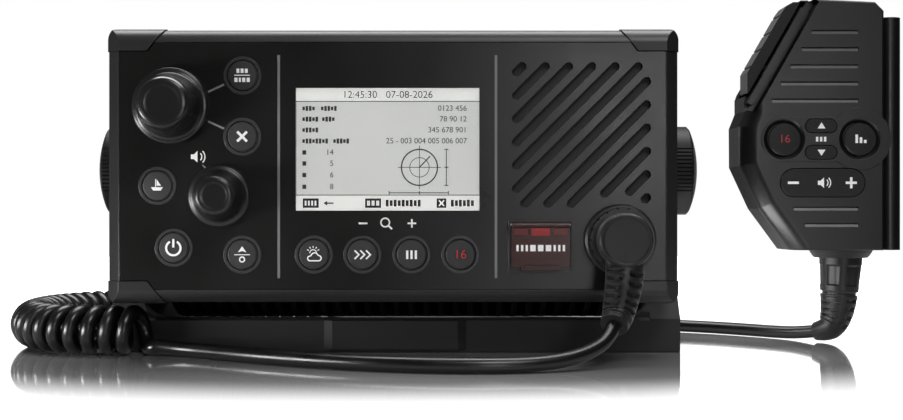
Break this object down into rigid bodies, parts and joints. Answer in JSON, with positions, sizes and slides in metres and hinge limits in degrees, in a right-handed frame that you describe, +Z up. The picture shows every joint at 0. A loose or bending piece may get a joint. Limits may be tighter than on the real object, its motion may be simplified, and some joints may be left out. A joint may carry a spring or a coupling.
{
  "type": "marine VHF radio",
  "caption": "Fixed-mount marine VHF radio on a tilting bracket, with display, knobs, keys, slotted speaker grille and a fist microphone on a curly cord.",
  "frame": {"origin": "centre of the bracket's four screw holes, on the underside of its base", "axes": "+X to the right seen from the front, +Y to the back, +Z up"},
  "size_m": [0.3406, 0.1849, 0.1316],
  "materials": {
    "housing": "fine satin, dark grey",
    "panel": "satin black",
    "case": "black powder coat on a cast case",
    "bracket": "fine matt grain, black",
    "window": "clear",
    "screen": "liquid crystal module",
    "key": "matt",
    "ring": "satin grey",
    "knob": "satin black",
    "washer": "matt",
    "steel": "bright",
    "brass": "machined",
    "board": "solder mask",
    "shield": "tinned",
    "speaker": "black",
    "red_cover": "tinted, see-through",
    "red_key": "matt",
    "socket": "satin black",
    "plug": "satin",
    "nickel": "nickel plated",
    "mic_shell": "fine satin, black",
    "mic_key": "matt",
    "cord": "glossy black"
  },
  "bodies": {
    "mount": {"bracket": "bracket", "pivot_washers": "washer", "mic_front_shell": "mic_shell", "mic_rear_shell": "mic_shell", "mic_rail": "mic_shell", "mic_hang_button": "steel", "mic_board": "board", "mic_screws": "steel", "mic_boot": "plug", "cord_lead": "cord", "cord_coil": "cord", "cord_tail": "cord"},
    "radio": {"front_housing": "housing", "front_panel": "panel", "corner_caps": "housing", "display_window": "window", "lcd_module": "screen", "rear_housing": "case", "case_gasket": "washer", "case_screws": "steel", "control_board": "board", "key_switches": "speaker", "main_board": "board", "rf_shield": "shield", "speaker_driver": "speaker", "speaker_membrane": "washer", "channel_encoder": "speaker", "volume_encoder": "speaker", "key_rings": "ring", "distress_hinge_pin": "steel", "mic_socket": "socket", "antenna_socket": "nickel", "network_socket": "nickel", "power_gland": "socket", "pivot_inserts": "brass", "cord_plug": "plug"},
    "channel_rotor_body": {"channel_rotor": "steel"},
    "channel_knob_body": {"channel_knob": "knob"},
    "volume_rotor_body": {"volume_rotor": "steel"},
    "volume_knob_body": {"volume_knob": "knob"},
    "distress_button_body": {"distress_button": "red_key"},
    "distress_cover_body": {"distress_cover": "red_cover"},
    "plug_lock_ring_body": {"plug_lock_ring": "socket"},
    "clamp_knob_left_body": {"clamp_knob_left": "knob"},
    "clamp_knob_right_body": {"clamp_knob_right": "knob"},
    "ptt_button_body": {"ptt_button": "mic_key"},
    "mic_volume_rocker_body": {"mic_volume_rocker": "mic_key"},
    "key_menu_body": {"key_menu": "key"},
    "key_cancel_body": {"key_cancel": "key"},
    "key_ais_body": {"key_ais": "key"},
    "key_power_body": {"key_power": "key"},
    "key_nav_body": {"key_nav": "key"},
    "key_weather_body": {"key_weather": "key"},
    "key_scan_body": {"key_scan": "key"},
    "key_watch_body": {"key_watch": "key"},
    "key_channel_body": {"key_channel": "key"},
    "mic_key_channel_body": {"mic_key_channel": "mic_key"},
    "mic_key_power_body": {"mic_key_power": "mic_key"},
    "mic_key_up_body": {"mic_key_up": "mic_key"},
    "mic_key_down_body": {"mic_key_down": "mic_key"}
  },
  "joints": [
    {"name": "radio_tilt", "type": "hinge", "parent": "mount", "child": "radio", "pos_m": [0, 0, 0.06685], "axis": [-1, 0, 0], "range_deg": [-1, 20], "deforming": ["cord_lead"]},
    {"name": "clamp_left_turn", "type": "hinge", "parent": "radio", "child": "clamp_knob_left_body", "pos_m": [-0.0979, 0, 0.06685], "axis": [-1, 0, 0], "range_deg": [0, 180]},
    {"name": "clamp_right_turn", "type": "hinge", "parent": "radio", "child": "clamp_knob_right_body", "pos_m": [0.0979, 0, 0.06685], "axis": [1, 0, 0], "range_deg": [0, 180]},
    {"name": "channel_turn", "type": "hinge", "parent": "radio", "child": "channel_rotor_body", "pos_m": [-0.0772, -0.06, 0.08775], "axis": [0, 1, 0], "continuous": true},
    {"name": "channel_push", "type": "slide", "parent": "channel_rotor_body", "child": "channel_knob_body", "axis": [0, 1, 0], "range_m": [0, 0.0008], "stiffness_N_per_m": 600},
    {"name": "volume_turn", "type": "hinge", "parent": "radio", "child": "volume_rotor_body", "pos_m": [-0.0601, -0.06, 0.05635], "axis": [0, 1, 0], "continuous": true},
    {"name": "volume_push", "type": "slide", "parent": "volume_rotor_body", "child": "volume_knob_body", "axis": [0, 1, 0], "range_m": [0, 0.0008], "stiffness_N_per_m": 600},
    {"name": "key_menu_press", "type": "slide", "parent": "radio", "child": "key_menu_body", "axis": [0, 1, 0], "range_m": [0, 0.0008], "stiffness_N_per_m": 500},
    {"name": "key_cancel_press", "type": "slide", "parent": "radio", "child": "key_cancel_body", "axis": [0, 1, 0], "range_m": [0, 0.0008], "stiffness_N_per_m": 500},
    {"name": "key_ais_press", "type": "slide", "parent": "radio", "child": "key_ais_body", "axis": [0, 1, 0], "range_m": [0, 0.0008], "stiffness_N_per_m": 500},
    {"name": "key_power_press", "type": "slide", "parent": "radio", "child": "key_power_body", "axis": [0, 1, 0], "range_m": [0, 0.0008], "stiffness_N_per_m": 500},
    {"name": "key_nav_press", "type": "slide", "parent": "radio", "child": "key_nav_body", "axis": [0, 1, 0], "range_m": [0, 0.0008], "stiffness_N_per_m": 500},
    {"name": "key_weather_press", "type": "slide", "parent": "radio", "child": "key_weather_body", "axis": [0, 1, 0], "range_m": [0, 0.0008], "stiffness_N_per_m": 500},
    {"name": "key_scan_press", "type": "slide", "parent": "radio", "child": "key_scan_body", "axis": [0, 1, 0], "range_m": [0, 0.0008], "stiffness_N_per_m": 500},
    {"name": "key_watch_press", "type": "slide", "parent": "radio", "child": "key_watch_body", "axis": [0, 1, 0], "range_m": [0, 0.0008], "stiffness_N_per_m": 500},
    {"name": "key_channel_press", "type": "slide", "parent": "radio", "child": "key_channel_body", "axis": [0, 1, 0], "range_m": [0, 0.0008], "stiffness_N_per_m": 500},
    {"name": "distress_press", "type": "slide", "parent": "radio", "child": "distress_button_body", "axis": [0, 1, 0], "range_m": [0, 0.0008], "stiffness_N_per_m": 700},
    {"name": "distress_cover_lift", "type": "hinge", "parent": "radio", "child": "distress_cover_body", "pos_m": [0.0515, -0.0611, 0.04625], "axis": [-1, 0, 0], "range_deg": [0, 110], "stiffness_Nm_per_rad": 0.002, "springref_deg": -17.19},
    {"name": "plug_lock_turn", "type": "hinge", "parent": "radio", "child": "plug_lock_ring_body", "pos_m": [0.0792, -0.066, 0.0412], "axis": [0, 1, 0], "range_deg": [0, 60]},
    {"name": "ptt_press", "type": "slide", "parent": "mount", "child": "ptt_button_body", "axis": [0.8682, 0, -0.4961], "range_m": [0, 0.0018], "stiffness_N_per_m": 600},
    {"name": "mic_key_channel_press", "type": "slide", "parent": "mount", "child": "mic_key_channel_body", "axis": [0, 1, 0], "range_m": [0, 0.0007], "stiffness_N_per_m": 500},
    {"name": "mic_key_power_press", "type": "slide", "parent": "mount", "child": "mic_key_power_body", "axis": [0, 1, 0], "range_m": [0, 0.0007], "stiffness_N_per_m": 500},
    {"name": "mic_key_up_press", "type": "slide", "parent": "mount", "child": "mic_key_up_body", "axis": [0, 1, 0], "range_m": [0, 0.0007], "stiffness_N_per_m": 500},
    {"name": "mic_key_down_press", "type": "slide", "parent": "mount", "child": "mic_key_down_body", "axis": [0, 1, 0], "range_m": [0, 0.0007], "stiffness_N_per_m": 500},
    {"name": "mic_volume_rock", "type": "hinge", "parent": "mount", "child": "mic_volume_rocker_body", "pos_m": [0.161, -0.0155, 0.0618], "axis": [0, 0, 1], "range_deg": [-3, 3], "stiffness_Nm_per_rad": 0.2}
  ]
}
